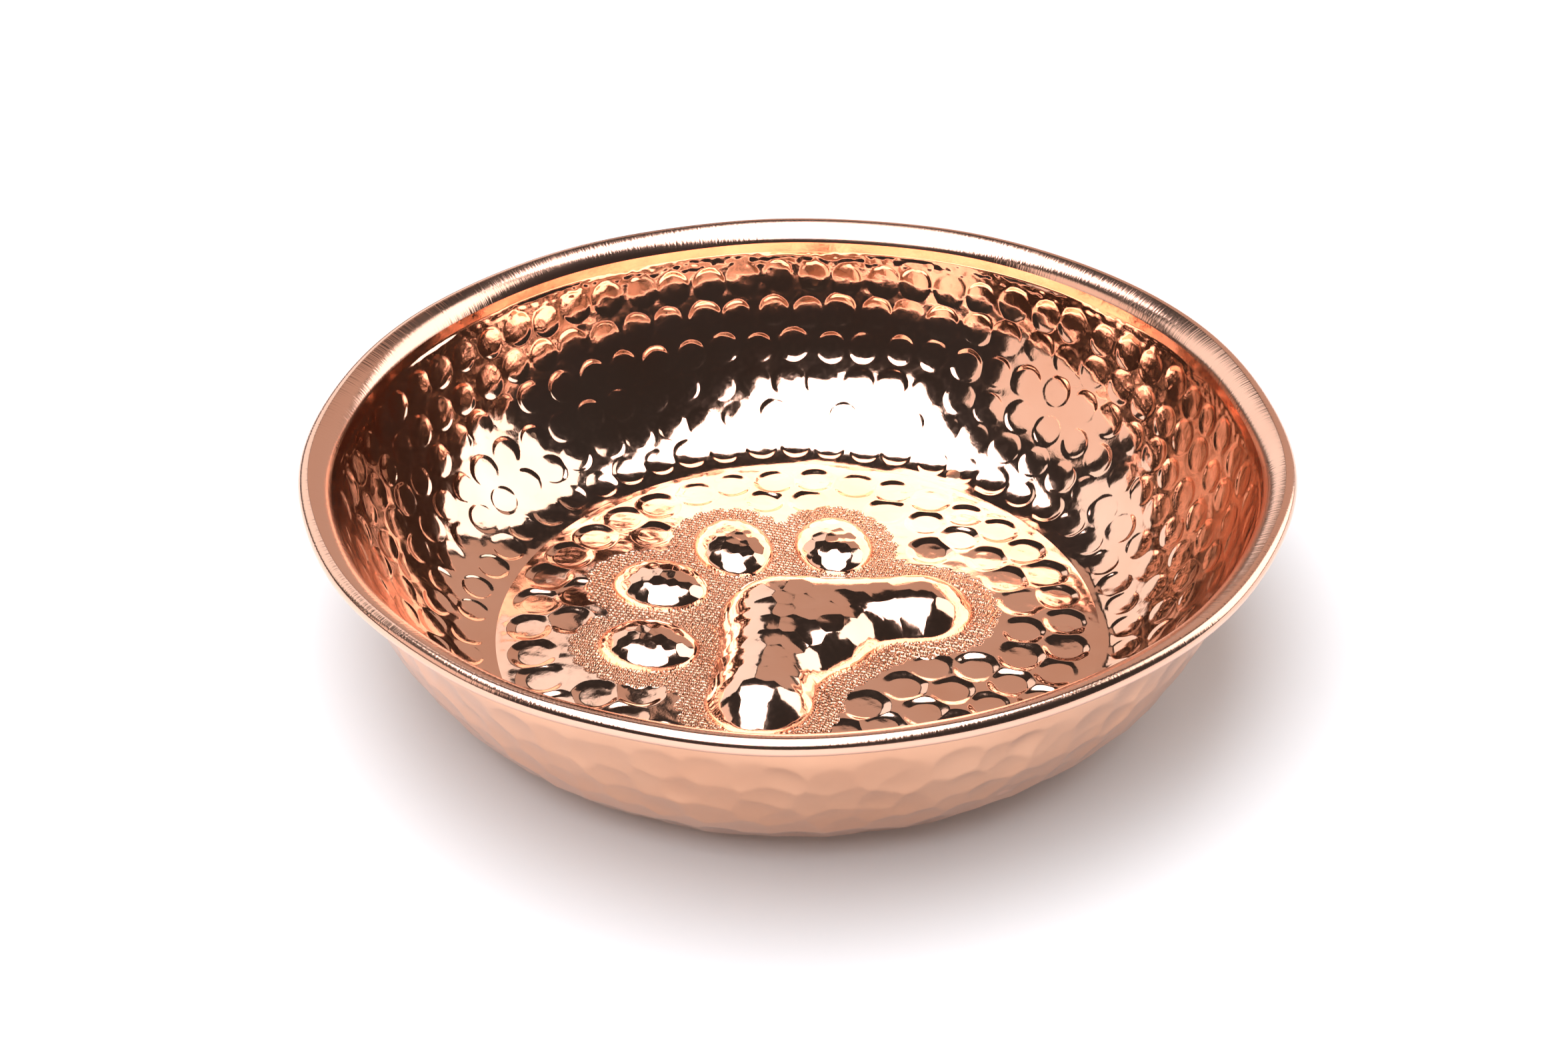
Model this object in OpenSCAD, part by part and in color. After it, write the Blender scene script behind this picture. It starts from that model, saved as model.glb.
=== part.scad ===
// Hammered copper bowl. One sheet of copper is raised into a shallow bowl, a paw print is pushed
// up out of its floor from below, and its flared lip is rolled over a ring of wire.
// Millimetres. +Z is up, and the origin is the middle of the base, on the surface it stands on.
// The paw's toes point along +Y.

/* [Bowl] */
// Diameter over the rolled edge
rim_d = 254; // [244:1:270]
// Height from the table to the top of the rolled edge
bowl_h = 60; // [56:1:66]
// Radius of the flat floor, out to the crease where the wall begins
floor_r = 81; // [78:0.5:84]
// Thickness of the copper sheet
sheet_t = 1.2; // [1:0.1:1.4]
// Slope of the wall just outside the crease, in degrees from level
foot_angle = 10; // [8:1:14]
// Slope of the wall just below its smooth top band, in degrees from level
top_angle = 76; // [70:1:78]

/* [Lip] */
// Width of the lip, from the bend at the top of the wall out to the rolled edge's widest point
lip_w = 8.3; // [7.5:0.1:9.5]
// Drop from the top of the rolled edge down to the bend at the top of the wall
lip_drop = 4.6; // [4:0.1:5.2]
// Slope of the lip where it leaves the bend, in degrees from level
lip_foot_angle = 62; // [56:1:64]
// Slope of the lip where it meets the roll, in degrees from level
lip_top_angle = 20; // [16:1:24]
// Height of the smooth upright band under the bend
band_h = 3; // [2:0.5:4]
// Diameter of the wire inside the rolled edge
wire_d = 2.2; // [2:0.1:2.4]
// Gap left open where the roll comes back round to the lip, in degrees
roll_gap = 40; // [30:5:60]
// Gap between the butted ends of the wire
wire_gap = 0.5; // [0.3:0.1:1]

/* [Paw print] */
// Height of the toes above the floor
toe_h = 5; // [3:0.5:6]
// Height of the pad above the floor
pad_h = 8; // [6:0.5:9]
// Half the length of a toe
toe_a = 13.7; // [12:0.1:14]
// Half the width of a toe
toe_b = 10.8; // [9:0.1:11]
// Sideways shift of the whole print off the bowl's centre line
paw_shift = -1.5; // [-3:0.5:3]

/* [Hidden] */
$fn = 128;

copper = [0.87, 0.55, 0.40];
wire_steel = [0.62, 0.62, 0.63];

// Handle of the quadratic curve from point a to point b that leaves and arrives at the given slopes
function handle(a, slope_a, b, slope_b) =
    let (x = (b.y - a.y - tan(slope_b) * b.x + tan(slope_a) * a.x) / (tan(slope_a) - tan(slope_b)))
        [x, a.y + tan(slope_a) * (x - a.x)];

// Roll: its radius and centre, and where the lip meets it
roll_r = wire_d / 2 + sheet_t;
roll = [rim_d / 2 - roll_r, bowl_h - roll_r];
lip_top = roll - roll_r * outward(lip_top_angle);

// Lip: a quadratic curve from the bend at the top of the wall up to the roll
bend = [rim_d / 2 - lip_w, bowl_h - lip_drop];
lip_curve = [bend, handle(bend, lip_foot_angle, lip_top, lip_top_angle), lip_top];
lip_steps = 8;

// Wall: a quadratic curve from the crease at the edge of the floor up to the band under the bend
wall_foot = [floor_r, sheet_t];
wall_top = [bend.x - 0.3, bend.y - band_h];
wall_curve = [wall_foot, handle(wall_foot, foot_angle, wall_top, top_angle), wall_top];
wall_steps = 20;

// Paw: one inner toe and one outer toe, mirrored, and the pad's front, middle, one of its two
// shoulders and one of its two lobes
inner_toe = [13.5, 38.7];
inner_toe_turn = 67;
outer_toe = [34.3, 19.8];
outer_toe_turn = 57;
pad_front = [0, -1];
pad_front_size = [17, 20];
pad_middle = [0, -9];
pad_middle_size = [27, 15.5];
pad_shoulder = [18, -9];
pad_shoulder_size = [24, 15];
pad_shoulder_turn = -39;
pad_lobe = [27, -18];
pad_lobe_size = [16.5, 16.5];
// How far the hollow under a dome stays inside the dome's own outline
hollow_inset = 1.1 * sheet_t;

// Unit normal to a line of the given slope, on the side of the sheet that faces out and down
function outward(slope) = [sin(slope), -cos(slope)];

// Point on a quadratic curve at s from 0 to 1, and the curve's slope there
function curve_point(c, s) = (1 - s) ^ 2 * c[0] + 2 * s * (1 - s) * c[1] + s ^ 2 * c[2];
function curve_slope(c, s) = let (d = (1 - s) * (c[1] - c[0]) + s * (c[2] - c[1])) atan2(d.y, d.x);

// The same point carried through the thickness of the sheet to its outer side
function outer_point(c, s) = curve_point(c, s) + sheet_t * outward(curve_slope(c, s));

// Offset that carries a corner between two slopes through the thickness of the sheet
function mitre(slope_a, slope_b) =
    let (a = outward(slope_a), b = outward(slope_b)) sheet_t * (a + b) / (1 + a * b);

// Half section of floor, wall, band and lip, from the middle of the floor out to the roll
module sheet_section() {
    polygon(concat(
        [[0, sheet_t]],
        [for (i = [0 : wall_steps]) curve_point(wall_curve, i / wall_steps)],
        [for (i = [0 : lip_steps]) curve_point(lip_curve, i / lip_steps)],
        [for (i = [lip_steps : -1 : 1]) outer_point(lip_curve, i / lip_steps)],
        [bend + mitre(90, lip_foot_angle)],
        [wall_top + mitre(top_angle, 90)],
        [for (i = [wall_steps - 1 : -1 : 1]) outer_point(wall_curve, i / wall_steps)],
        [wall_foot + mitre(0, foot_angle)],
        [[0, 0]]
    ));
}

// Half section of the roll: a ring round the wire, open where it comes back under the lip
module roll_section() {
    // the open wedge starts just below the lip's own underside
    gap_start = 180 + (lip_foot_angle + lip_top_angle) / 2;
    gap_end = gap_start + roll_gap;
    translate(roll)
        difference() {
            circle(r = roll_r);
            circle(d = wire_d);
            polygon([
                [0, 0],
                3 * roll_r * [cos(gap_start), sin(gap_start)],
                3 * roll_r * [cos(gap_end), sin(gap_end)]
            ]);
        }
}

// Upper half of an egg-shaped dome standing on z = 0
module dome(size, height) {
    intersection() {
        scale([size.x, size.y, height]) sphere(r = 1);
        translate([-size.x - 1, -size.y - 1, 0])
            cube([2 * size.x + 2, 2 * size.y + 2, height + 1]);
    }
}

// The five raised shapes of the print, each drawn in by inset
module paw_domes(inset) {
    shrink = [inset, inset];
    toe_size = [toe_a, toe_b] - shrink;
    translate([paw_shift, 0, 0]) {
        for (side = [0, 1]) mirror([side, 0, 0]) {
            translate(inner_toe) rotate(inner_toe_turn) dome(toe_size, toe_h);
            translate(outer_toe) rotate(outer_toe_turn) dome(toe_size, toe_h);
            translate(pad_shoulder) rotate(pad_shoulder_turn) dome(pad_shoulder_size - shrink, pad_h);
            translate(pad_lobe) dome(pad_lobe_size - shrink, pad_h);
        }
        translate(pad_front) dome(pad_front_size - shrink, pad_h);
        translate(pad_middle) dome(pad_middle_size - shrink, pad_h);
    }
}

// Floor, wall, lip and roll in one piece of sheet, with the print pushed up from below
module bowl_shell() {
    color(copper)
        difference() {
            union() {
                rotate_extrude() {
                    sheet_section();
                    roll_section();
                }
                translate([0, 0, sheet_t]) paw_domes(0);
            }
            paw_domes(hollow_inset);
        }
}

// Ring of wire that the lip is rolled over, its two ends butted at the back
module rim_wire() {
    gap_angle = wire_gap / roll.x * 180 / PI;
    color(wire_steel)
        rotate(90 + gap_angle / 2)
            rotate_extrude(angle = 360 - gap_angle)
                translate(roll) circle(d = wire_d);
}

bowl_shell();
rim_wire();
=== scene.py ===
# %% [markdown]
# # A hammered copper bowl with a paw print in its floor
#
# The bowl is one sheet of copper. A maker raises the wall with a hammer, pushes the paw print up
# from below, mats the ground round it with a small punch, and rolls the lip over a ring of wire.
# The CAD model has the right size and section, but its sheet is smooth. Here the same sheet is
# drawn again with every hammer mark in it, as surfaces worked out with numpy.

import bpy
import numpy as np
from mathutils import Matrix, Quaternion, Vector


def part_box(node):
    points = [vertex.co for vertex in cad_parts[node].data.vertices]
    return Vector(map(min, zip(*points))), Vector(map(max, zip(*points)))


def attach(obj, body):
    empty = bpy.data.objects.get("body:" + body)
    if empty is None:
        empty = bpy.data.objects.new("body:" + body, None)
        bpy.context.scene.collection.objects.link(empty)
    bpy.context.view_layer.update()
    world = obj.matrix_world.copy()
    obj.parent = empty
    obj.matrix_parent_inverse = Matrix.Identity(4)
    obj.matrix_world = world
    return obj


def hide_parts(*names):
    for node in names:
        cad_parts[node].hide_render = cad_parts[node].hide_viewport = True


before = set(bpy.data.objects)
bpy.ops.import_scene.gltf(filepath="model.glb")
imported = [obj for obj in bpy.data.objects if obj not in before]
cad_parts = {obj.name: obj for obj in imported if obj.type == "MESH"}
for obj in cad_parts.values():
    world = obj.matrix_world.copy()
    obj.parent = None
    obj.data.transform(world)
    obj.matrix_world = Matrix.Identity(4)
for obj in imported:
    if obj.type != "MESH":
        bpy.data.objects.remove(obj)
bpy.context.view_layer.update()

# %% [markdown]
# ## Sizes
# All shapes below are in millimetres and become metres only when a mesh is made. The rim's radius
# and the height come from the CAD box, and the rest are the few sizes that the section needs.

# %% Driving sizes
MM = 0.001
_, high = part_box("bowl_shell")
rim_radius = round(high.x / MM, 1)
rim_height = round(high.z / MM, 1)
sheet = 1.2
floor_radius = 81.0
foot_slope = np.radians(10)
top_slope = np.radians(76)
lip_foot_slope = np.radians(70)
lip_top_slope = np.radians(20)
lip_width = 8.3
lip_drop = 4.6
band_height = 3.0
band_lean = 0.3
wire_radius = 1.1
roll_gap = np.radians(40)
# the bumps of the hammer marks stand out below, so they lift the floor off the table
floor_lift = 0.6
floor_height = sheet + floor_lift
print(f"rim {2 * rim_radius:.0f} mm across, {rim_height:.0f} mm high, floor {2 * floor_radius:.0f} mm")

# %% [markdown]
# ## The camera
# The bowl is seen from about 33 degrees above the table, with the paw turned 43 degrees to the left.
# Everything in the studio is placed as the viewer sees it: to the right, away, and up.

# %% Camera
viewer_turn = np.radians(-43)


def seen_from_camera(right, away, up):
    """A point given in metres to the viewer's right, away and up, turned into the bowl's own frame."""
    c, s = np.cos(viewer_turn), np.sin(viewer_turn)
    return Vector((c * right - s * away, s * right + c * away, up))


camera_at = seen_from_camera(-0.00274, -0.61036, 0.43564)
camera_aim = seen_from_camera(-0.00342, 0.05074, 0.0012)
camera_roll = np.radians(-0.6)
camera_data = bpy.data.cameras.new("camera")
camera_data.lens = 63.87
camera_data.sensor_width = 36
camera = bpy.data.objects.new("camera", camera_data)
looking = (camera_aim - camera_at).to_track_quat("-Z", "Y")
camera.rotation_mode = "QUATERNION"
camera.rotation_quaternion = looking @ Quaternion((0, 0, 1), camera_roll)
camera.location = camera_at
bpy.context.scene.collection.objects.link(camera)
bpy.context.scene.camera = camera
print("camera is", round((camera_aim - camera_at).length, 3), "m from the floor of the bowl")

# %% [markdown]
# ## From a grid of points to a mesh
# Each piece is a grid: rows run along the section of the sheet and columns run round the bowl. Two
# neighbouring pieces share their edge points, and each gets its normals from the whole surface, so
# that the polish runs across the joint without a line.

# %% Grid helpers


def grid_normals(points, wraps=False):
    """Unit normals of a grid of points: the cross product of the way along the rows and round the columns."""
    along = np.gradient(points, axis=0)
    if wraps:
        around = np.roll(points, -1, axis=1) - np.roll(points, 1, axis=1)
    else:
        around = np.gradient(points, axis=1)
    normals = np.cross(along, around)
    return normals / np.linalg.norm(normals, axis=2, keepdims=True)


def grid_faces(points, wraps=False):
    """The four point numbers of every face of a grid. wraps joins its last column to its first."""
    rows, columns = points.shape[:2]
    number = np.arange(rows * columns).reshape(rows, columns)
    if wraps:
        number = np.hstack([number, number[:, :1]])
    corners = [number[:-1, :-1], number[1:, :-1], number[1:, 1:], number[:-1, 1:]]
    return np.stack(corners, axis=-1).reshape(-1, 4)


def make_piece(
    name, points, normals, replaced="bowl_shell", wraps=False, values=None
):
    """Puts a grid of points in millimetres into a mesh of four-sided faces, and ties it to the frame."""
    faces = grid_faces(points, wraps)
    mesh = bpy.data.meshes.new(name)
    mesh.vertices.add(points.size // 3)
    mesh.vertices.foreach_set("co", (points * MM).astype(np.float32).ravel())
    mesh.loops.add(faces.size)
    mesh.loops.foreach_set("vertex_index", faces.astype(np.int32).ravel())
    mesh.polygons.add(len(faces))
    mesh.polygons.foreach_set("loop_start", np.arange(0, faces.size, 4, dtype=np.int32))
    mesh.polygons.foreach_set("use_smooth", np.ones(len(faces), dtype=bool))
    mesh.update(calc_edges=True)
    for label, value in (values or {}).items():
        attribute = mesh.attributes.new(label, "FLOAT", "POINT")
        attribute.data.foreach_set("value", value.astype(np.float32).ravel())
    mesh.normals_split_custom_set_from_vertices(normals.reshape(-1, 3))
    piece = bpy.data.objects.new(name, mesh)
    bpy.context.scene.collection.objects.link(piece)
    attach(piece, "root")
    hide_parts(replaced)
    print(f"{name}: {2 * len(faces):,} triangles")
    return piece


def smooth(low_end, high_end, value):
    """A soft step: 0 below low_end, 1 above high_end, and 3t^2 - 2t^3 between them."""
    t = np.clip((value - low_end) / (high_end - low_end), 0, 1)
    return t * t * (3 - 2 * t)


# %% [markdown]
# ## The section of the sheet
# Cut through its middle, the bowl is one line: level floor, a curved wall that starts at 10 degrees
# and ends at 76, an upright band, a bend, and a rounded lip that goes over the wire. Wall and lip are
# quadratic curves. The wall is measured out evenly, so that hammer marks keep their size all the way up.

# %% Section


def outward(slope):
    """Unit normal on the side of the sheet that faces out and down."""
    return np.stack([np.sin(slope), -np.cos(slope)], axis=-1)


def curve(start, start_slope, stop, stop_slope, steps):
    """A quadratic curve between two points, (1-t)^2 start + 2t(1-t) handle + t^2 stop, and its slopes."""
    rise, run = np.tan(start_slope), np.tan(stop_slope)
    handle_x = (stop[1] - start[1] - run * stop[0] + rise * start[0]) / (rise - run)
    handle = np.array([handle_x, start[1] + rise * (handle_x - start[0])])
    t = np.linspace(0, 1, steps)[:, None]
    points = (1 - t) ** 2 * start + 2 * t * (1 - t) * handle + t**2 * stop
    heading = (1 - t) * (handle - start) + t * (stop - handle)
    return points, np.arctan2(heading[:, 1], heading[:, 0])


def length_along(line):
    """How far each point of a line is from its start, measured along it."""
    return np.concatenate([[0], np.cumsum(np.linalg.norm(np.diff(line, axis=0), axis=1))])


roll_radius = wire_radius + sheet
roll_centre = np.array([rim_radius - roll_radius, rim_height - roll_radius])
bend = np.array([rim_radius - lip_width, rim_height - lip_drop])
foot = np.array([floor_radius, floor_height])
wall_top = bend - [band_lean, band_height]
wall_curve, wall_slopes = curve(foot, foot_slope, wall_top, top_slope, 400)
section = np.vstack([wall_curve, bend])
travel = length_along(section)
wall_length = travel[-1]
band_start = travel[-2]


def wall_at(distance):
    """Radius, height and inward normal of the wall at a distance up it from the crease."""
    radius = np.interp(distance, travel, section[:, 0])
    height = np.interp(distance, travel, section[:, 1])
    slope = np.interp(distance, travel[:-1], wall_slopes)
    return radius, height, -outward(slope)


print(f"wall is {wall_length:.1f} mm from crease to bend")

# %% [markdown]
# ## The maker's hand
# A raised bowl is never quite true: the rim wanders by a fraction of a millimetre, and has a few
# flats where the roll was closed against the stake; only the wander is drawn. The floor stays as it is,
# and the wander grows with height. The same small move is used on every piece, so that their edges still
# meet.

# %% Hand-made wander
rng = np.random.default_rng(20)
wander_waves = np.arange(2, 15)
widest_wander = 0.42
wander_size = rng.uniform(0.5, 1.0, (2, len(wander_waves))) * widest_wander / wander_waves**0.6
wander_phase = rng.uniform(0, 2 * np.pi, (2, len(wander_waves)))


def turn_round(section_points, angles):
    """Carries a section round the axis. The radius and height at the rim wander by a sum of waves."""
    radius, height = section_points[..., 0], section_points[..., 1]
    turns = wander_waves[None, :, None] * angles + wander_phase[:, :, None]
    out_by, up_by = (wander_size[:, :, None] * np.sin(turns)).sum(axis=1)
    share = smooth(floor_height, rim_height, height)
    radius = radius + share * out_by
    height = height + 0.7 * share * up_by
    return np.stack([radius * np.cos(angles), radius * np.sin(angles), height], axis=-1)


def ripples(across, along, wavelength, seed, waves=14, round_length=None):
    """Soft unevenness: the sum of waves in random directions, divided by the root of how many there are.

    Where round_length is given, every wave fits a whole number of times into it, so the ends meet."""
    draw = np.random.default_rng(seed)
    heading = draw.uniform(0, np.pi, waves)
    rate = 2 * np.pi / (wavelength * draw.uniform(0.7, 1.4, waves))
    phase = draw.uniform(0, 2 * np.pi, waves)
    total = np.zeros(np.broadcast(across, along).shape)
    for way, k, start in zip(heading, rate, phase):
        rate_across = k * np.cos(way)
        if round_length:
            rate_across = np.round(rate_across * round_length / (2 * np.pi)) * 2 * np.pi / round_length
        total += np.sin(rate_across * across + k * np.sin(way) * along + start)
    return total / np.sqrt(waves)


# %% [markdown]
# ## Hammer marks
# A blow from a ball-headed punch leaves a round dish. Where two dishes overlap, the deeper one wins,
# which leaves a crisp ridge between them: so a field of marks is the greatest depth of all the
# single marks. The same function serves the wall, the floor, the outside and the facets on the print.
#
# The dishes differ with the tool. A facet is a plain round hollow. A mark in the wall has a faint step
# at its edge, and a mark in the floor is flatter inside and steeper at the side.

# %% Blows


def strike(marks, offsets, dish, shape):
    """Depth of a field of blows: the greatest of depth x dish(distance / size) over all the marks.

    A hammer never lands quite flat, so each mark is also deeper towards one side, by its two leans."""
    depth = np.zeros(shape)
    for mark in marks:
        across, along = offsets(mark)
        size, deep, *lean = mark[2:]
        near = (np.abs(across) < size) & (np.abs(along) < size)
        u, v = across[near] / size, along[near] / size
        blow = deep * (1 + lean[0] * u + lean[1] * v) * dish(np.hypot(u, v))
        depth[near] = np.maximum(depth[near], blow)
    return depth


def round_dish(away):
    """A round hollow with a crisp edge: 1 - d^2, where d is the share of the way out to the edge."""
    return np.clip(1 - away**2, 0, 1)


def stepped_dish(away, step, shoulder):
    """A round hollow in which the share called step is a flat bottom with a soft side from shoulder out."""
    return (1 - step) * round_dish(away) + step * (1 - smooth(shoulder, 1.0, away))


def wall_dish(away):
    """Mostly round, with a faint step at the edge."""
    return stepped_dish(away, 0.24, 0.76)


def floor_dish(away):
    """About half of it flat, with a steep side."""
    return stepped_dish(away, 0.55, 0.6)


def offsets_on_wall(angles, radius, distance):
    """Gives a function of one mark: how far every point is from it, round the bowl and up the wall."""

    def offsets(mark):
        turn = (angles - mark[0] + np.pi) % (2 * np.pi) - np.pi
        return radius[:, None] * turn, (distance - mark[1])[:, None] + 0 * turn

    return offsets


def offsets_on_floor(x, y):
    """The same for level ground: how far every point is from a mark in x and in y."""
    return lambda mark: (x - mark[0], y - mark[1])


def ring_of_marks(place, radius, pitch, size, depth, sway=0.4):
    """Marks evenly spaced round a ring, each a little off in place, size and depth."""
    count = round(2 * np.pi * radius / pitch)
    angle = (np.arange(count) + rng.uniform()) * 2 * np.pi / count
    angle += rng.uniform(-sway, sway, count) / radius
    return np.stack(
        [
            angle,
            place + rng.uniform(-sway, sway, count),
            size * rng.uniform(0.93, 1.07, count),
            depth * rng.uniform(0.7, 1.25, count),
            *rng.uniform(-0.55, 0.55, (2, count)),
        ],
        axis=1,
    )


# %% [markdown]
# ## Inside of the wall
# Six rows of marks climb the wall, about 10 mm apart both ways. Above them the sheet is only
# crinkled, and the band under the bend is left smooth. The wall is cut between rows into three
# rings, to keep each mesh a handy size.

# %% Wall, inside
wall_step = 0.42
band_steps = 8
columns = 1536
angles = np.arange(columns) * 2 * np.pi / columns
first_row = 7.6
last_row_below_bend = 10.6
wall_row_count = 6
wall_mark_pitch, wall_mark_size, wall_mark_depth = 10.3, 4.9, 0.26
wall_rows = np.linspace(first_row, wall_length - last_row_below_bend, wall_row_count)

# rows of the grid: even steps up the wall, with one exactly on the lower edge of the band
wall_distance = np.concatenate(
    [
        np.linspace(0, band_start, round(band_start / wall_step)),
        np.linspace(band_start, wall_length, band_steps + 1)[1:],
    ]
)
wall_radius, wall_height, wall_normal = wall_at(wall_distance)
wall_marks = np.vstack(
    [
        ring_of_marks(row, wall_at(row)[0], wall_mark_pitch, wall_mark_size, wall_mark_depth, sway=0.7)
        for row in wall_rows
    ]
)

# unevenness of three sizes: broad swells, the texture of the hammer's face, and a fine crinkle on top
mean_wall_radius = 105.0
wall_round = 2 * np.pi * mean_wall_radius
around_wall, up_wall = angles * mean_wall_radius, wall_distance[:, None]
swell = 0.16 * ripples(around_wall, up_wall, 42, seed=1, round_length=wall_round)
face_texture = 0.012 * ripples(around_wall, up_wall, 4.2, seed=2, round_length=wall_round)
crinkle = 0.03 * ripples(around_wall, up_wall, 2.6, seed=3, round_length=wall_round)
above_marks = smooth(wall_rows[-1] + 3, wall_rows[-1] + 5, up_wall)
below_band = 1 - smooth(band_start - 0.6, band_start, up_wall)
from_wall_mark = offsets_on_wall(angles, wall_radius, wall_distance)
wall_depth = strike(wall_marks, from_wall_mark, wall_dish, (len(wall_distance), columns))
wall_depth += swell + face_texture + above_marks * below_band * crinkle
# the crease and the bend stay on the section, so that the floor and the lip meet the wall
wall_depth *= smooth(0, 3, up_wall) * (1 - smooth(band_start - 1, band_start, up_wall))

inside_line = np.stack([wall_radius, wall_height], axis=-1)[:, None, :]
wall_points = turn_round(inside_line - wall_depth[:, :, None] * wall_normal[:, None, :], angles)
wall_normals = grid_normals(wall_points, wraps=True)
between_rows = [wall_rows[1:3].mean(), wall_rows[3:5].mean()]
wall_cuts = [0, *np.searchsorted(wall_distance, between_rows), len(wall_distance) - 1]
wall_names = ["wall_inside_low", "wall_inside_middle", "wall_inside_high"]
wall_pieces = [
    make_piece(name, wall_points[start : stop + 1], wall_normals[start : stop + 1], wraps=True)
    for name, start, stop in zip(wall_names, wall_cuts[:-1], wall_cuts[1:])
]

# %% [markdown]
# ## Lip and roll
# The lip curves up from the bend, goes over the wire, round under it, and stops short of the lip's
# own underside. Its section is curves and arcs joined end to end, and it is left smooth and satin.

# %% Lip and roll


def straight(start, stop, steps):
    """Evenly spaced points from start up to, but not including, stop."""
    return start + np.linspace(0, 1, steps, endpoint=False)[:, None] * (stop - start)


def arc(radius, start, stop, steps):
    """Points round the roll's centre from angle start to angle stop."""
    angle = np.linspace(start, stop, steps)
    return roll_centre + radius * np.stack([np.cos(angle), np.sin(angle)], axis=-1)


def mitre(slope_a, slope_b):
    """Offset that carries a corner between two slopes through the thickness of the sheet."""
    a, b = outward(slope_a), outward(slope_b)
    return sheet * (a + b) / (1 + a @ b)


upright = np.pi / 2
lip_top = roll_centre - roll_radius * outward(lip_top_slope)
lip_curve, lip_slopes = curve(bend, lip_foot_slope, lip_top, lip_top_slope, 16)
touch = lip_top_slope + upright
tuck = (lip_foot_slope + lip_top_slope) / 2 + np.pi
edge = tuck + roll_gap - 2 * np.pi
outer_bend = bend + mitre(upright, lip_foot_slope)
under_lip = (lip_curve + sheet * outward(lip_slopes))[::-1]
under_lip = under_lip[np.linalg.norm(under_lip - roll_centre, axis=1) > roll_radius]
meet = np.arctan2(*(under_lip[0] - roll_centre)[::-1]) % (2 * np.pi)
lip_section = np.vstack(
    [
        lip_curve[:-1],
        arc(roll_radius, touch, edge, 36),
        arc(wire_radius, edge, tuck, 20),
        arc(roll_radius, tuck, meet, 4),
        under_lip[:-1],
        outer_bend,
    ]
)
lip_columns = 1024
lip_angles = np.arange(lip_columns) * 2 * np.pi / lip_columns
lip_points = turn_round(np.repeat(lip_section[:, None, :], lip_columns, axis=1), lip_angles)
lip = make_piece("lip_and_roll", lip_points, grid_normals(lip_points, wraps=True), wraps=True)

# %% [markdown]
# ## The wire in the roll
# The wire stiffens the rim. It follows the same wander as the lip, so it stays inside it.

# %% Wire
wire_columns = 512
wire_angles = np.arange(wire_columns) * 2 * np.pi / wire_columns
wire_section = arc(wire_radius, 0, -2 * np.pi, 13)
wire_points = turn_round(np.repeat(wire_section[:, None, :], wire_columns, axis=1), wire_angles)
wire = make_piece(
    "rim_wire_ring",
    wire_points,
    grid_normals(wire_points, wraps=True),
    replaced="rim_wire",
    wraps=True,
)

# %% [markdown]
# ## Outside of the wall
# The outside was planished: a flat polished hammer evens it out in broad, soft, overlapping facets.
# The facets are the same blows, only wider and very shallow.

# %% Wall, outside
outside_columns = 768
outside_angles = np.arange(outside_columns) * 2 * np.pi / outside_columns
outside_distance = np.linspace(band_start, 0, 92)
outside_radius, outside_height, outside_normal = wall_at(outside_distance)
facet_rows = 4.0 + 8.4 * np.arange(7)
facet_pitch, facet_size, facet_hollow = 9.6, 7.4, 0.62
facets = np.vstack(
    [
        ring_of_marks(row, wall_at(row)[0], facet_pitch, facet_size, facet_hollow, sway=2.6)
        for row in facet_rows
    ]
)

from_facet = offsets_on_wall(outside_angles, outside_radius, outside_distance)
facet_depth = strike(facets, from_facet, round_dish, (len(outside_distance), outside_columns))
down_outside = outside_distance[:, None]
around_outside = outside_angles * mean_wall_radius
facet_depth += 0.12 * ripples(around_outside, down_outside, 38, seed=5, round_length=wall_round)
# the facets fade out at the crease and under the band
facet_depth *= smooth(0, 4, down_outside) * (1 - smooth(60, 66, down_outside))
thickness = sheet - facet_depth
outside_line = np.stack([outside_radius, outside_height], axis=-1)[:, None, :]
outside_section = outside_line - thickness[:, :, None] * outside_normal[:, None, :]
outside_section[-1] = foot + mitre(0, foot_slope)
band_line = straight(outer_bend, wall_top + mitre(top_slope, upright), 4)
band_section = np.repeat(band_line[:, None, :], outside_columns, axis=1)
outside_points = turn_round(np.concatenate([band_section, outside_section]), outside_angles)
outside = make_piece("wall_outside", outside_points, grid_normals(outside_points, wraps=True), wraps=True)

# %% [markdown]
# ## The paw print's outline
# Four toes are ovals. The pad is two round bars and a disc melted together. Each has a share that
# grows from 0 along its middle to 1 on its outline. Less one and times the radius, the share is a
# distance in millimetres: below zero inside, zero on the outline and above it outside.

# %% Outline of the print
print_shift = -1.5
toe_length, toe_width = 13.7, 10.8
mean_toe = (toe_length + toe_width) / 2
toe_places = [(13.5, 38.7, 67), (34.3, 19.8, 57), (-13.5, 38.7, 113), (-34.3, 19.8, 123)]


def toe_share(x, y, toe):
    """0 at a toe's middle and 1 on its oval outline: sqrt((x/length)^2 + (y/width)^2) in its own turn."""
    cx, cy, turn = toe
    c, s = np.cos(np.radians(turn)), np.sin(np.radians(turn))
    dx, dy = x - cx - print_shift, y - cy
    return np.hypot((dx * c + dy * s) / toe_length, (dy * c - dx * s) / toe_width)


def melt(a, b, width):
    """The lesser of two distances, with the corner between them rounded over width."""
    overlap = np.maximum(width - np.abs(a - b), 0) / width
    return np.minimum(a, b) - overlap**2 * width / 4


def to_line(x, y, start, stop):
    """Distance to a straight line between two points, from the nearest point on it."""
    (ax, ay), (bx, by) = start, stop
    t = ((x - ax) * (bx - ax) + (y - ay) * (by - ay)) / ((bx - ax) ** 2 + (by - ay) ** 2)
    t = np.clip(t, 0, 1)
    return np.hypot(x - ax - t * (bx - ax), y - ay - t * (by - ay))


pad_radius = 14.4
pad_front = (0, 5)
pad_right, pad_left = (29.5, -18.5), (-29.5, -18.5)


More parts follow.
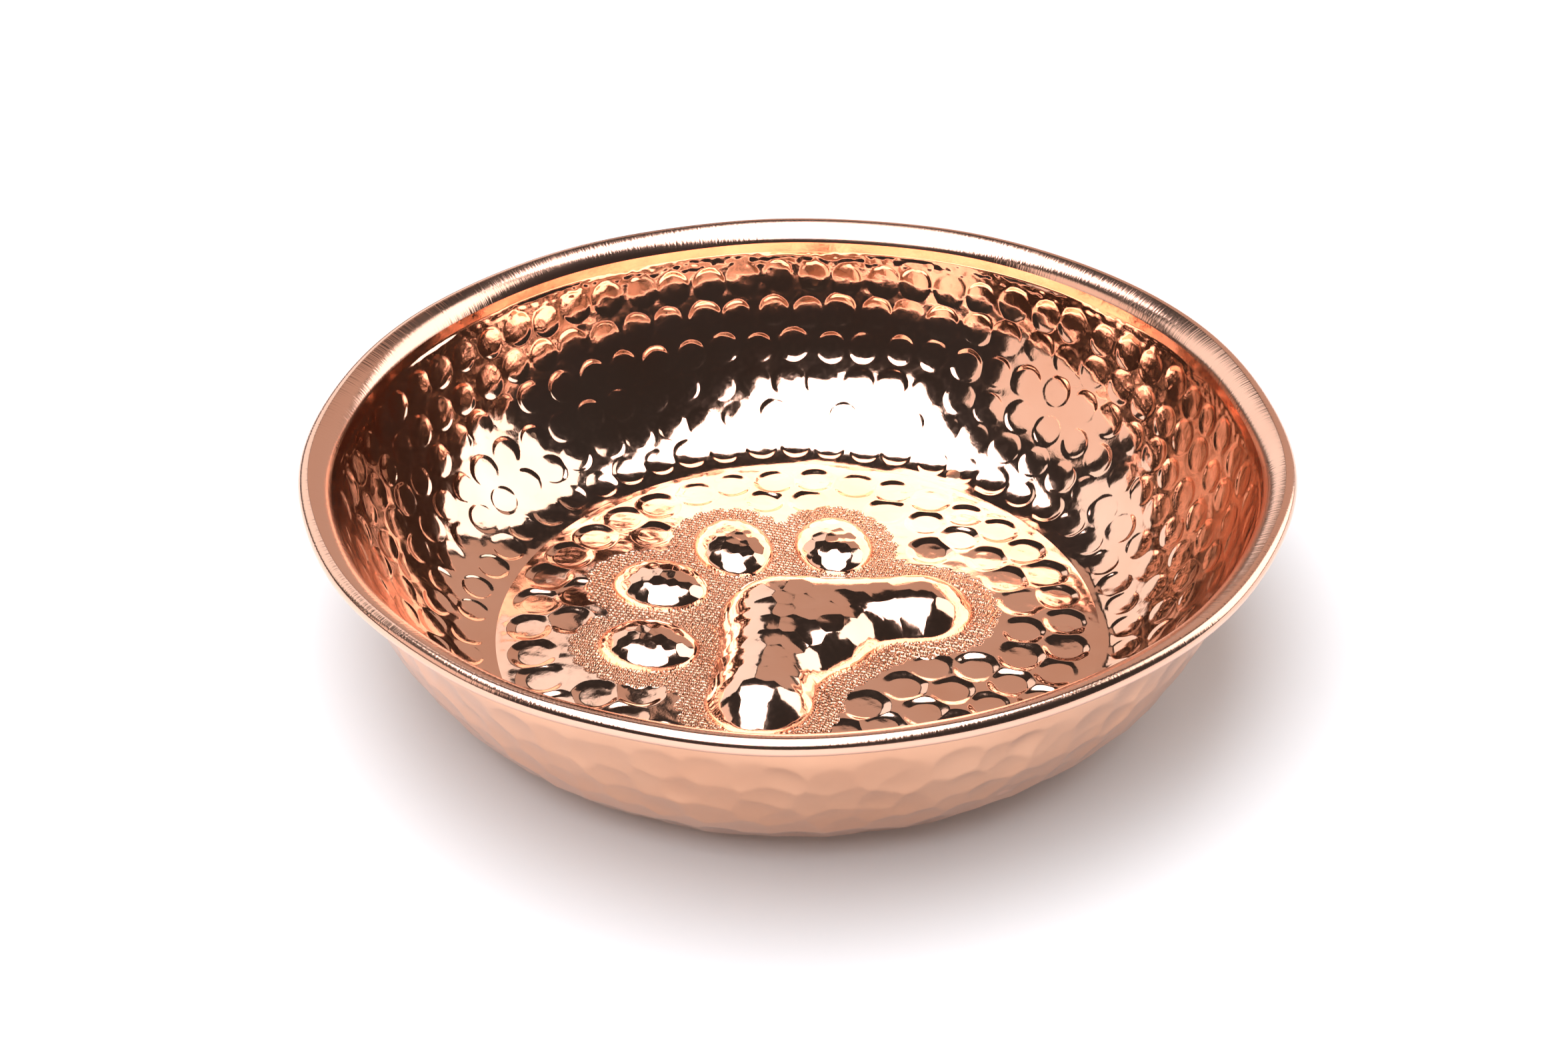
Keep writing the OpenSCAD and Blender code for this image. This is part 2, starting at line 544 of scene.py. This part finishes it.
def pad_share(x, y, width=8.0, softness=0.0):
    """0 along the pad's middle and 1 on its outline. softness rounds off the ridge along the middle."""
    x = x - print_shift
    right, left = to_line(x, y, pad_front, pad_right), to_line(x, y, pad_front, pad_left)
    heel = np.hypot(x, y + 9) - 1
    right, left, heel = (np.hypot(away, softness) - softness for away in (right, left, heel))
    return melt(melt(right, left, width), heel, width) / pad_radius


def pad_distance(x, y):
    """Distance to the pad's outline."""
    return (pad_share(x, y) - 1) * pad_radius


def toe_distance(x, y):
    """Distance to the nearest toe's outline, taken as even all round the oval."""
    return np.min([(toe_share(x, y, toe) - 1) * mean_toe for toe in toe_places], axis=0)


def print_distance(x, y):
    """Distance to the nearest outline of the whole print."""
    return np.minimum(pad_distance(x, y), toe_distance(x, y))


print(f"pad {2 * (pad_right[0] + pad_radius):.0f} mm wide")
print(f"toes {2 * toe_length:.0f} by {2 * toe_width:.0f} mm")

# %% [markdown]
# ## The chased ground
# Round the print the maker beat the ground down with a small grained punch, and ended it in a row of
# little scallops. To set them out, the outline is walked at a constant margin and a round is placed
# every few millimetres. Behind the pad the rounds turn into a rope of small blocks.

# %% Scallops
ground_margin = 4.6
scallop_radius = 3.0
scallop_pitch = 4.7
walk_centre = np.array([print_shift, 4.0])


def walk_outline(distance, margin, steps=2400):
    """Points along the line at a margin from an outline: on each ray from the middle, the last one inside."""
    angle = np.linspace(0, 2 * np.pi, steps)
    radius = np.linspace(0, 70, 1401)[:, None]
    x, y = walk_centre[0] + radius * np.cos(angle), walk_centre[1] + radius * np.sin(angle)
    inside = distance(x, y) < margin
    farthest = radius[len(radius) - 1 - inside[::-1].argmax(axis=0), 0]
    return walk_centre + farthest[:, None] * np.stack([np.cos(angle), np.sin(angle)], axis=-1)


def even_steps(line, pitch):
    """Points about pitch apart along a closed line."""
    run = length_along(line)
    stops = np.linspace(0, run[-1], round(run[-1] / pitch), endpoint=False)
    return np.stack([np.interp(stops, run, line[:, 0]), np.interp(stops, run, line[:, 1])], axis=-1)


scallop_sway = 0.35
scallops = even_steps(walk_outline(print_distance, ground_margin), scallop_pitch)
scallops += rng.uniform(-scallop_sway, scallop_sway, scallops.shape)
print(f"{len(scallops)} scallops round the ground")

# %% [markdown]
# ## The floor
# The whole floor is one height map. A square grid is bent into a disc, ring by ring, so its cells
# stay nearly the same size from the middle to the crease and there is no pole.

# %% Disc grid


def disc_grid(cells, radius):
    """A square grid bent into a disc: rings of the square become circles, and its diagonals stay straight."""
    a, b = np.meshgrid(np.linspace(-1, 1, cells + 1), np.linspace(-1, 1, cells + 1), indexing="ij")
    wide = np.abs(a) >= np.abs(b)
    safe_a, safe_b = np.where(a == 0, 1, a), np.where(b == 0, 1, b)
    angle = np.where(wide, np.pi / 4 * b / safe_a, np.pi / 2 - np.pi / 4 * a / safe_b)
    reach = np.where(wide, a, b)
    return radius * reach * np.cos(angle), radius * reach * np.sin(angle)


# %% [markdown]
# Rings of deeper marks fill the floor from the crease inwards. A mark whose middle would fall on the
# chased ground was never struck.

# %% Floor marks
floor_rows = 71.7 - 10.6 * np.arange(6)
floor_mark_pitch, floor_mark_size, floor_mark_depth = 11.9, 6.7, 0.6
floor_marks = np.vstack(
    [
        ring_of_marks(row, row, floor_mark_pitch, floor_mark_size, floor_mark_depth, sway=0.7)
        for row in floor_rows
    ]
)
mark_angle, mark_radius = floor_marks[:, 0].copy(), floor_marks[:, 1].copy()
floor_marks[:, 0] = mark_radius * np.cos(mark_angle)
floor_marks[:, 1] = mark_radius * np.sin(mark_angle)
to_scallops = np.hypot(*(floor_marks[:, None, :2] - scallops[None]).transpose(2, 0, 1)).min(axis=1)
clear_of_print = print_distance(floor_marks[:, 0], floor_marks[:, 1]) > ground_margin + 1
floor_marks = floor_marks[clear_of_print & (to_scallops > scallop_radius + 2.0)]
print(f"{len(floor_marks)} marks in the floor, {len(wall_marks)} in the wall")


def honeycomb(pitch, reach, sway):
    """Middles of a honeycomb of cells about pitch apart, each moved a little."""
    rows = np.arange(-reach, reach, pitch * 0.87)
    place = np.arange(-reach, reach, pitch)
    x, y = np.meshgrid(place, rows)
    x = x + (np.arange(len(rows)) % 2)[:, None] * pitch / 2
    spots = np.stack([x.ravel(), y.ravel()], axis=-1)
    return spots + rng.uniform(-sway, sway, spots.shape) * pitch


def facets_over(distance, pitch, size, depth):
    """Marks of a honeycomb that fall on one part of the print."""
    spots = honeycomb(pitch, 58, 0.22)
    spots = spots[distance(spots[:, 0], spots[:, 1]) < 1.5]
    count = len(spots)
    return np.column_stack(
        [
            spots,
            size * rng.uniform(0.9, 1.1, count),
            depth * rng.uniform(0.6, 1.3, count),
            rng.uniform(-0.4, 0.4, (count, 2)),
        ]
    )


toe_facets = facets_over(toe_distance, 3.4, 2.8, 0.2)
pad_facets = facets_over(pad_distance, 6.4, 5.2, 0.24)

# %% [markdown]
# ## Toes and pad
# The toes and the pad are domes with steep sides and a fuller top, pushed up from below and then
# dressed from above with small flat blows. The pad has a crown as well: a broad rise over the whole
# of it, highest in the middle, that turns its top a little everywhere.

# %% Domes of the print
toe_rise = 5.0
pad_rise = 9.2
pad_crown = 0.8


def dome(share, rise, fullness, flatness=2):
    """Height of a dome: rise x (1 - share^flatness)^fullness. share is 0 on top and 1 at the edge."""
    return rise * np.clip(1 - np.clip(share, 0, 1) ** flatness, 0, 1) ** fullness


def broad_pad_share(x, y):
    """A softer share for the crown of the whole pad: its melts are wider and its ridges rounded off."""
    return pad_share(x, y, width=18.0, softness=4.0)


pad_spine = np.linspace(-25, 10, 141)
pad_lowest = broad_pad_share(np.full(pad_spine.shape, print_shift), pad_spine).min()


def print_domes(x, y, inset=0.0):
    """Height of the toes and the pad above the floor. An inset draws them in all round."""
    shares = [toe_share(x, y, toe) + inset / mean_toe for toe in toe_places]
    toes = [dome(share, toe_rise, 0.62, flatness=2.6) for share in shares]
    crown = 1 - pad_crown * ((broad_pad_share(x, y) - pad_lowest) / (1 - pad_lowest)) ** 2
    pad = crown * dome(pad_share(x, y) + inset / pad_radius, pad_rise, 0.6, flatness=3.2)
    return np.max([*toes, pad], axis=0)


print(f"toes rise {toe_rise:.1f} mm and the pad {pad_rise:.1f} mm")

# %% [markdown]
# ## Grain
# The matting punch leaves rows of tiny points that cross. Two sets of waves at an angle do the same:
# the higher of the two at each place, with a slow turn in them, so the rows aren't dead straight.
# Behind the pad the ground stands up in small blocks, like a rope laid along the outline.

# %% Grain of the chased ground
grain_pitch = 1.15
grain_depth = 0.32
ground_sink = 0.32
# where the pad and a toe are both nearer than this, the ground between them is chased right across
between_width = 10.5
rope_margin = 3.2
rope_pitch = 4.8
rope_height = 0.55


def chased_ground(x, y):
    """How much each point belongs to the ground, from 0 to 1, and the relief of its grain."""
    between = np.maximum(pad_distance(x, y), toe_distance(x, y))
    margin = np.maximum(ground_margin - print_distance(x, y), between_width - between)
    spread = np.full(x.shape, -np.inf)
    for cx, cy in scallops:
        spread = np.maximum(spread, scallop_radius - np.hypot(x - cx, y - cy))
    ground = smooth(0, 0.45, np.maximum(margin, spread)) * smooth(0, 0.3, print_distance(x, y))
    rate = 2 * np.pi / grain_pitch
    turn = 0.35 * ripples(x, y, 24, seed=31)
    first = np.sin(rate * (x * np.cos(0.5) + y * np.sin(0.5)) + turn * 4)
    second = np.sin(rate * (x * np.cos(2.0) + y * np.sin(2.0)) - turn * 3)
    grain = grain_depth * (np.maximum(first, second) + 0.35 * ripples(x, y, 1.6, seed=32))
    return ground, grain


def rope_blocks(x, y):
    """Share and height of the rope behind the pad: humps along the outline, from 1 to 5 mm off it."""
    line = walk_outline(pad_distance, rope_margin)
    run = length_along(line)
    line_angle = np.unwrap(np.arctan2(*(line - walk_centre).T[::-1]))
    here = np.arctan2(y - walk_centre[1], x - walk_centre[0]) % (2 * np.pi)
    away = pad_distance(x, y)
    along = np.interp(here, line_angle, run) + 0.35 * away
    hump = np.abs(np.sin(np.pi * along / rope_pitch)) ** 0.6
    across = smooth(0.5, 1.4, away) * (1 - smooth(4.8, 6.0, away))
    behind = 1 - smooth(-17, -9, y)
    return behind * across, rope_height * hump


# %% [markdown]
# ## All of the floor in one
# The floor's height is the sum of its parts: marks where there is no ground, a slow swell, the grain
# and the rope on the ground, and the domes less their facets. It fades to level at the crease, where
# the wall takes over.

# %% Floor height map


def floor_map(x, y):
    """Height of the floor's upper side above its own level, and how dull the ground is, 0 to 1.

    The hollows of the grain hold tarnish that polishing doesn't reach, so they are the dullest."""
    offsets = offsets_on_floor(x, y)
    from_edge = floor_radius - np.hypot(x, y)
    ground, grain = chased_ground(x, y)
    rope, hump = rope_blocks(x, y)
    relief = -strike(floor_marks, offsets, floor_dish, x.shape) * (1 - ground)
    relief += 0.16 * ripples(x, y, 34, seed=11) + 0.014 * ripples(x, y, 4.5, seed=12)
    relief += ground * (grain - ground_sink) * (1 - 0.3 * rope) + ground * rope * hump
    domes = print_domes(x, y)
    dressed = strike(toe_facets, offsets, round_dish, x.shape) * (toe_distance(x, y) < 0)
    dressed += strike(pad_facets, offsets, round_dish, x.shape) * (pad_distance(x, y) < 0)
    relief += domes - dressed * smooth(0.5, 2.5, domes)
    dull = ground * np.clip(0.85 - 0.4 * grain / grain_depth, 0.3, 1)
    return relief * smooth(0, 3, from_edge), dull


floor_cells = 600
floor_x, floor_y = disc_grid(floor_cells, floor_radius)
floor_relief, floor_dull = floor_map(floor_x, floor_y)
floor_points = np.stack([floor_x, floor_y, floor_height + floor_relief], axis=-1)
floor_normals = grid_normals(floor_points)
print(f"floor relief from {floor_relief.min():.1f} to {floor_relief.max():.1f} mm")
half = floor_cells // 2
floor_pieces = []
for row in (0, 1):
    for column in (0, 1):
        tile = slice(row * half, row * half + half + 1), slice(column * half, column * half + half + 1)
        floor_pieces.append(
            make_piece(
                f"floor_inside_{2 * row + column + 1}",
                floor_points[tile],
                floor_normals[tile],
                values={"dull": floor_dull[tile]},
            )
        )

# %% [markdown]
# ## Underside
# Below, everything is the other way up: the marks stand out as low bumps and the print is hollow.

# %% Underside of the floor
under_cells = 280
under_y, under_x = disc_grid(under_cells, floor_radius)
# a bump is lower than its mark is deep, and the hollow of the print is smaller than the print
bump_share = 0.55
hollow_inset = 1.1
bumps = bump_share * strike(floor_marks, offsets_on_floor(under_x, under_y), floor_dish, under_x.shape)
under_z = floor_lift - bumps + print_domes(under_x, under_y, inset=hollow_inset)
under_points = np.stack([under_x, under_y, under_z], axis=-1)
underside = make_piece("floor_underside", under_points, grid_normals(under_points))

# %% [markdown]
# ## Materials
# Copper is a metal, so its colour is the colour of its reflection. Polished copper is close to a
# mirror: only very fine rubbing marks and a little unevenness in the polish soften it.

# %% Material helpers


def linear(hex_colour):
    """sRGB hex to linear RGBA."""
    parts = np.array([int(hex_colour[i : i + 2], 16) for i in (1, 3, 5)]) / 255
    parts = np.where(parts <= 0.04045, parts / 12.92, ((parts + 0.055) / 1.055) ** 2.4)
    return (*parts.tolist(), 1.0)


def add(tree, kind, inputs=None, **settings):
    """Adds a shader node with its settings, and gives each input its value or its link."""
    node = tree.nodes.new("ShaderNode" + kind)
    for name, value in settings.items():
        setattr(node, name, value)
    for name, value in (inputs or {}).items():
        if isinstance(value, bpy.types.NodeSocket):
            tree.links.new(value, node.inputs[name])
        else:
            node.inputs[name].default_value = value
    return node


def new_material(name):
    """An empty material, its node tree and its shader."""
    material = bpy.data.materials.new(name)
    material.use_nodes = True
    tree = material.node_tree
    return material, tree, tree.nodes["Principled BSDF"]


# %% [markdown]
# ## The finishes
# Inside, the polish gives sharp, deep reflections, and on the chased ground it is lost in the grain,
# where tarnish browns the hollows. The lip is a satin of fine strokes that run in towards the bowl, and
# the outside a softer, browner satin. The wire is grey steel.

# %% Copper and steel


def hammered_copper():
    """Copper, hammered and polished: near a mirror. Where the ground is dull it is browner and rougher."""
    material, tree, shader = new_material("polished_hammered_copper")
    place = add(tree, "TexCoord").outputs["Object"]
    clouds = add(tree, "TexNoise", {"Vector": place, "Scale": 1 / 0.025, "Detail": 3.0}).outputs["Fac"]
    rubbing = add(tree, "TexNoise", {"Vector": place, "Scale": 1 / 0.0012, "Detail": 2.0}).outputs["Fac"]
    tone = add(tree, "MapRange", {"Value": clouds, "From Min": 0.35, "From Max": 0.7}).outputs["Result"]
    bare = add(
        tree, "Mix", {"Factor": tone, "A": linear("#F8C7AE"), "B": linear("#F2BA9E")}, data_type="RGBA"
    ).outputs["Result"]
    dull = add(tree, "Attribute", attribute_name="dull").outputs["Fac"]
    colour = add(
        tree, "Mix", {"Factor": dull, "A": bare, "B": linear("#7C4D2E")}, data_type="RGBA"
    ).outputs["Result"]
    polish = add(
        tree, "MapRange", {"Value": rubbing, "From Min": 0.3, "From Max": 0.7, "To Min": 0.05, "To Max": 0.11}
    ).outputs["Result"]
    rough = add(tree, "MapRange", {"Value": dull, "To Min": polish, "To Max": 0.26}).outputs["Result"]
    bump = add(tree, "Bump", {"Height": rubbing, "Strength": 0.05, "Distance": 0.0002}).outputs["Normal"]
    tree.links.new(colour, shader.inputs["Base Color"])
    tree.links.new(rough, shader.inputs["Roughness"])
    tree.links.new(bump, shader.inputs["Normal"])
    shader.inputs["Metallic"].default_value = 1.0
    return material


def satin_copper(name, light, deep, roughness, spread, brushed):
    """Copper rubbed with fine abrasive: a satin that blurs what it reflects.

    On the lip the abrasive was drawn across, in towards the bowl. Noise that is read on a circle, from
    the direction of each point and not its distance from the axis, gives strokes that run that way."""
    material, tree, shader = new_material(name)
    place = add(tree, "TexCoord").outputs["Object"]
    clouds = add(tree, "TexNoise", {"Vector": place, "Scale": 1 / 0.03, "Detail": 4.0}).outputs["Fac"]
    grit_place, strength = place, 0.08
    if brushed:
        level = add(tree, "VectorMath", {0: place, 1: (1.0, 1.0, 0.0)}, operation="MULTIPLY")
        level = level.outputs["Vector"]
        circle = add(tree, "VectorMath", {0: level}, operation="NORMALIZE").outputs["Vector"]
        on_rim = add(tree, "VectorMath", {0: circle, "Scale": rim_radius * MM}, operation="SCALE")
        grit_place, strength = on_rim.outputs["Vector"], 0.35
    grit = add(tree, "TexNoise", {"Vector": grit_place, "Scale": 1 / 0.0008, "Detail": 3.0}).outputs["Fac"]
    colour = add(
        tree, "Mix", {"Factor": clouds, "A": linear(light), "B": linear(deep)}, data_type="RGBA"
    ).outputs["Result"]
    rough = add(
        tree,
        "MapRange",
        {
            "Value": clouds,
            "From Min": 0.3,
            "From Max": 0.7,
            "To Min": roughness - spread,
            "To Max": roughness + spread,
        },
    ).outputs["Result"]
    bump = add(tree, "Bump", {"Height": grit, "Strength": strength, "Distance": 0.0002}).outputs["Normal"]
    tree.links.new(colour, shader.inputs["Base Color"])
    tree.links.new(rough, shader.inputs["Roughness"])
    tree.links.new(bump, shader.inputs["Normal"])
    shader.inputs["Metallic"].default_value = 1.0
    return material


def drawn_steel_wire():
    """Bright steel wire, drawn through a die: grey, with a light satin."""
    material, tree, shader = new_material("drawn_steel_wire")
    place = add(tree, "TexCoord").outputs["Object"]
    clouds = add(tree, "TexNoise", {"Vector": place, "Scale": 1 / 0.01}).outputs["Fac"]
    colour = add(
        tree, "Mix", {"Factor": clouds, "A": linear("#C6C6C8"), "B": linear("#A9A9AC")}, data_type="RGBA"
    ).outputs["Result"]
    tree.links.new(colour, shader.inputs["Base Color"])
    shader.inputs["Roughness"].default_value = 0.28
    shader.inputs["Metallic"].default_value = 1.0
    return material


bright = hammered_copper()
lip_satin = satin_copper("satin_brushed_copper", "#F7C6AE", "#F0B9A0", 0.16, 0.03, brushed=True)
planished = satin_copper("planished_satin_copper", "#EDBD9F", "#E2A988", 0.18, 0.04, brushed=False)
for piece in [*wall_pieces, *floor_pieces]:
    piece.data.materials.append(bright)
lip.data.materials.append(lip_satin)
for piece in (outside, underside):
    piece.data.materials.append(planished)
wire.data.materials.append(drawn_steel_wire())
print("finishes:", ", ".join(material.name for material in bpy.data.materials))

# %% [markdown]
# ## The studio
# A mirror shows the room, so the lights are placed for what the copper should reflect: one big soft
# light overhead that reaches out over the camera, a bright panel at the right, a dim warm wall behind,
# two middling panels behind on the left and at the left, and a dark room on the camera's side.

# %% Lights


def panel_light(name, middle, aim, width, height, radiance, colour="#FFFFFF"):
    """A rectangular soft light. Its power is pi x area x radiance, so radiance 1 shows as white."""
    data = bpy.data.lights.new(name, "AREA")
    data.shape = "RECTANGLE"
    data.size = width
    data.size_y = height
    data.energy = np.pi * width * height * radiance
    data.color = linear(colour)[:3]
    light = bpy.data.objects.new(name, data)
    light.location = middle
    light.rotation_mode = "QUATERNION"
    light.rotation_quaternion = (aim - middle).to_track_quat("-Z", "Y")
    light.visible_camera = False
    bpy.context.scene.collection.objects.link(light)
    return light


def wall_panel(name, bearing, distance, bottom, top, width, radiance, colour="#FFFFFF"):
    """An upright panel light that faces the bowl. bearing is in degrees round from the viewer's right."""
    right, away = distance * np.cos(np.radians(bearing)), distance * np.sin(np.radians(bearing))
    middle = seen_from_camera(right, away, (bottom + top) / 2)
    return panel_light(name, middle, Vector((0, 0, middle.z)), width, top - bottom, radiance, colour)


overhead_middle = seen_from_camera(-0.2, -0.35, 1.0)
straight_down = overhead_middle - Vector((0, 0, 1))
overhead = panel_light("overhead_softbox", overhead_middle, straight_down, 1.0, 1.6, 5.3, "#F9FAFF")
overhead.rotation_mode = "XYZ"
overhead.rotation_euler = (0, 0, viewer_turn + np.radians(-10))
wall_panel("right_panel", 23, 1.25, 0.16, 1.9, 0.9, 2.3)
wall_panel("back_wall", 70, 1.5, 0.0, 1.5, 1.3, 0.55, "#FFE2D2")
wall_panel("back_left_panel", 128, 1.3, 0.3, 1.2, 1.6, 1.15)
wall_panel("left_panel", 188, 1.3, 0.25, 1.0, 0.8, 1.0, "#FFF0E8")

world = bpy.data.worlds.new("dark_room")
world.use_nodes = True
world.node_tree.nodes["Background"].inputs["Color"].default_value = linear("#FFFFFF")
world.node_tree.nodes["Background"].inputs["Strength"].default_value = 0.035
bpy.context.scene.world = world
bpy.context.scene.view_settings.view_transform = "Standard"
print(len(bpy.data.lights), "lights")

# %% [markdown]
# ## Floor and backdrop
# The table is plain white, and glows a little more the farther out it is, so that it runs into the
# pale dome round it without an edge. The dome is there only for the camera: the copper doesn't see
# it, so the room stays dark in the reflections.

# %% Table and dome


def stage_piece(name, points, wraps=False):
    """A plain grid that is part of the studio and not of the bowl. Its points are in metres."""
    mesh = bpy.data.meshes.new(name)
    mesh.from_pydata(points.reshape(-1, 3).tolist(), [], grid_faces(points, wraps).tolist())
    item = bpy.data.objects.new(name, mesh)
    bpy.context.scene.collection.objects.link(item)
    return item


table_reach = 1.5
table_x, table_y = np.meshgrid([-table_reach, table_reach], [-table_reach, table_reach], indexing="ij")
table = stage_piece("table", np.stack([table_x, table_y, np.zeros_like(table_x)], axis=-1))
table_paint, table_tree, table_shader = new_material("matt_white_table")
table_shader.inputs["Base Color"].default_value = linear("#E0E0E0")
table_shader.inputs["Emission Color"].default_value = linear("#FFFFFF")
table_place = add(table_tree, "TexCoord").outputs["Object"]
table_far = add(table_tree, "VectorMath", {0: table_place}, operation="LENGTH").outputs["Value"]
table_glow = add(
    table_tree,
    "MapRange",
    {"Value": table_far, "From Min": 0.35, "From Max": 1.1, "To Min": 0.06, "To Max": 1.0},
    interpolation_type="SMOOTHSTEP",
).outputs["Result"]
table_tree.links.new(table_glow, table_shader.inputs["Emission Strength"])
table_shader.inputs["Roughness"].default_value = 0.9
table.data.materials.append(table_paint)

dome_radius = 4.9
dome_turn = np.linspace(0, 2 * np.pi, 48, endpoint=False)
dome_angle, dome_up = np.meshgrid(dome_turn, np.linspace(-1.5, 1.5, 24))
dome_points = dome_radius * np.stack(
    [np.cos(dome_up) * np.cos(dome_angle), np.cos(dome_up) * np.sin(dome_angle), np.sin(dome_up)], axis=-1
)
backdrop = stage_piece("pale_backdrop", dome_points, wraps=True)
backdrop_paint = bpy.data.materials.new("pale_backdrop")
backdrop_paint.use_nodes = True
backdrop_tree = backdrop_paint.node_tree
backdrop_tree.nodes.remove(backdrop_tree.nodes["Principled BSDF"])
glow = add(backdrop_tree, "Emission", {"Color": linear("#FFFFFF"), "Strength": 1.0})
backdrop_tree.links.new(glow.outputs["Emission"], backdrop_tree.nodes["Material Output"].inputs["Surface"])
backdrop.data.materials.append(backdrop_paint)
for ray in ("diffuse", "glossy", "transmission", "volume_scatter", "shadow"):
    setattr(backdrop, "visible_" + ray, False)
